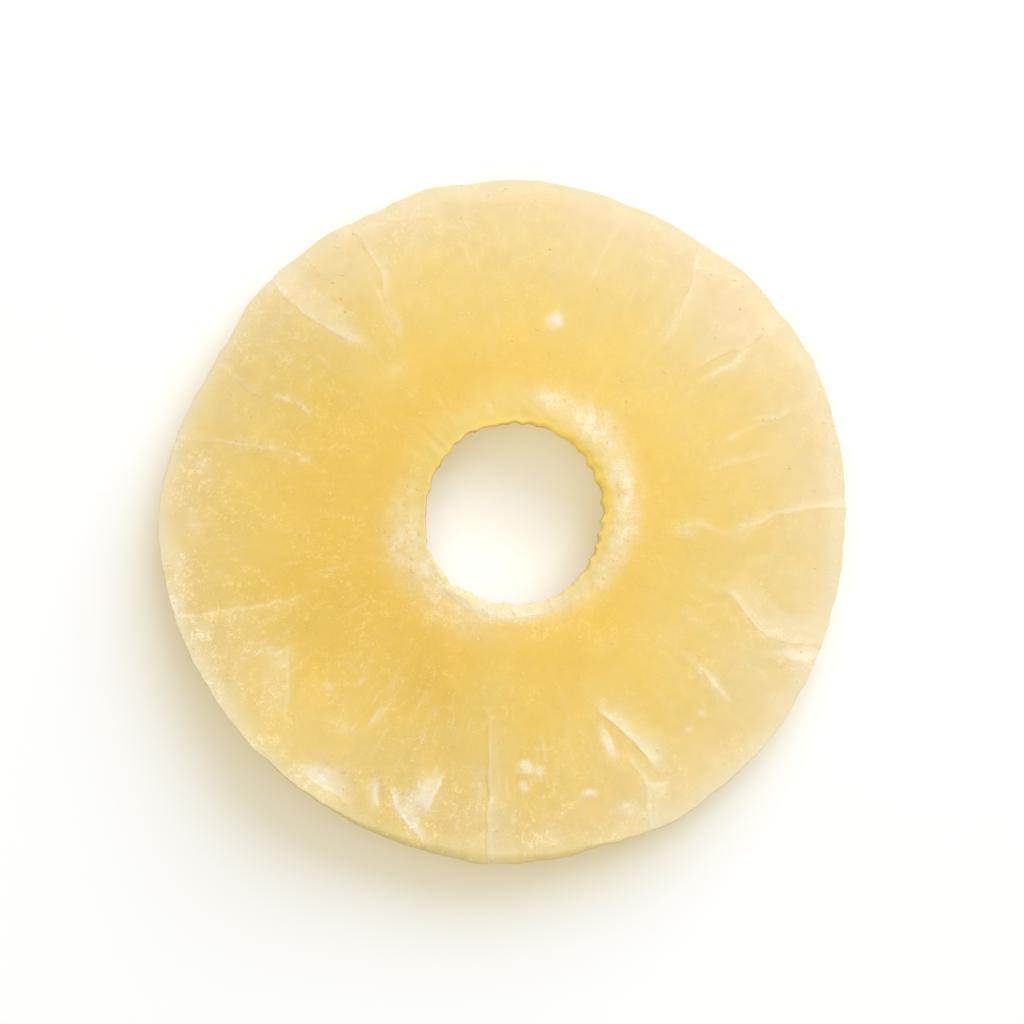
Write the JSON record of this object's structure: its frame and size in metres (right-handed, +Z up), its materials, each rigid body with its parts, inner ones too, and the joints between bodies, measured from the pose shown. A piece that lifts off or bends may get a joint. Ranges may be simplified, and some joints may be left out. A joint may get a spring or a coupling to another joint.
{
  "type": "candied pineapple ring",
  "caption": "Ring of candied pineapple: a flat, cored slice of the fruit, creased towards the rim, which curls up a little at one side, sugared and ready to eat.",
  "frame": {"origin": "middle of the ring, on the plane that it lies on", "axes": "+Z up out of the flat slice, +X to the right and +Y to the top of the slice as it is seen from above"},
  "size_m": [0.0722, 0.072, 0.0083],
  "materials": {
    "candied_flesh": "pale yellow candied fruit, slightly translucent, with a fine sugar crust"
  },
  "bodies": {
    "root": {"pineapple_ring": "candied_flesh"}
  },
  "joints": []
}
